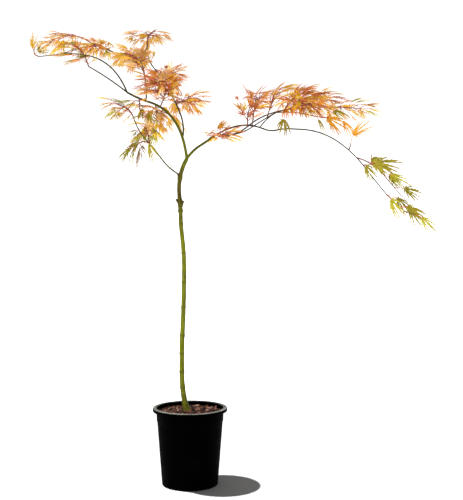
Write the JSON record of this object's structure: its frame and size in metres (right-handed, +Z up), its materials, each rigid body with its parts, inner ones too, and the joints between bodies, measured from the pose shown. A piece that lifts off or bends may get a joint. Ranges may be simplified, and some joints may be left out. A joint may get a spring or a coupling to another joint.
{
  "type": "potted weeping maple",
  "caption": "Slim grafted weeping maple with cut autumn leaves on arching boughs over a bare stem, growing in a plain round nursery pot filled with bark mix.",
  "frame": {"origin": "centre of the pot's flat underside", "axes": "+Z up along the stem, +X to the right as seen from the front, -Y towards the viewer at the front"},
  "size_m": [1.0461, 0.4878, 1.1891],
  "materials": {
    "pot_plastic": "satin moulded",
    "potting_bark": "rough, moist bark chips",
    "trunk_bark": "smooth young bark",
    "bough_bark": "smooth young bark",
    "leaf_gold": "matt leaf",
    "leaf_orange": "matt leaf",
    "leaf_rust": "matt leaf",
    "leaf_olive": "matt leaf"
  },
  "bodies": {
    "root": {"pot": "pot_plastic", "potting_mix": "potting_bark", "trunk": "trunk_bark", "left_bough": "bough_bark", "left_long_bough": "bough_bark", "left_front_bough": "bough_bark", "low_left_bough": "bough_bark", "upright_bough": "bough_bark", "crown_bough": "bough_bark", "right_bough": "bough_bark", "right_front_bough": "bough_bark", "weeping_bough": "bough_bark", "right_back_bough": "bough_bark", "right_middle_bough": "bough_bark", "right_link_bough": "bough_bark", "left_tip_spray": "leaf_gold", "far_left_spray": "leaf_orange", "upper_left_back_spray": "leaf_orange", "upper_left_front_spray": "leaf_gold", "top_spray": "leaf_gold", "upper_middle_front_spray": "leaf_orange", "upper_middle_back_spray": "leaf_orange", "heart_front_spray": "leaf_rust", "heart_back_spray": "leaf_rust", "heart_right_spray": "leaf_rust", "under_bough_front_spray": "leaf_gold", "under_bough_back_spray": "leaf_gold", "low_left_tip_spray": "leaf_gold", "low_left_front_spray": "leaf_olive", "low_left_back_spray": "leaf_gold", "left_front_spray": "leaf_orange", "right_fork_spray": "leaf_gold", "right_rise_spray": "leaf_orange", "right_shoulder_spray": "leaf_orange", "right_crest_spray": "leaf_orange", "right_top_spray": "leaf_orange", "right_heart_front_spray": "leaf_orange", "right_heart_middle_spray": "leaf_rust", "right_end_spray": "leaf_gold", "right_hang_spray": "leaf_gold", "right_low_spray": "leaf_olive", "droop_upright_spray": "leaf_gold", "droop_upper_spray": "leaf_olive", "droop_middle_spray": "leaf_olive", "droop_tip_spray": "leaf_olive"}
  },
  "joints": []
}
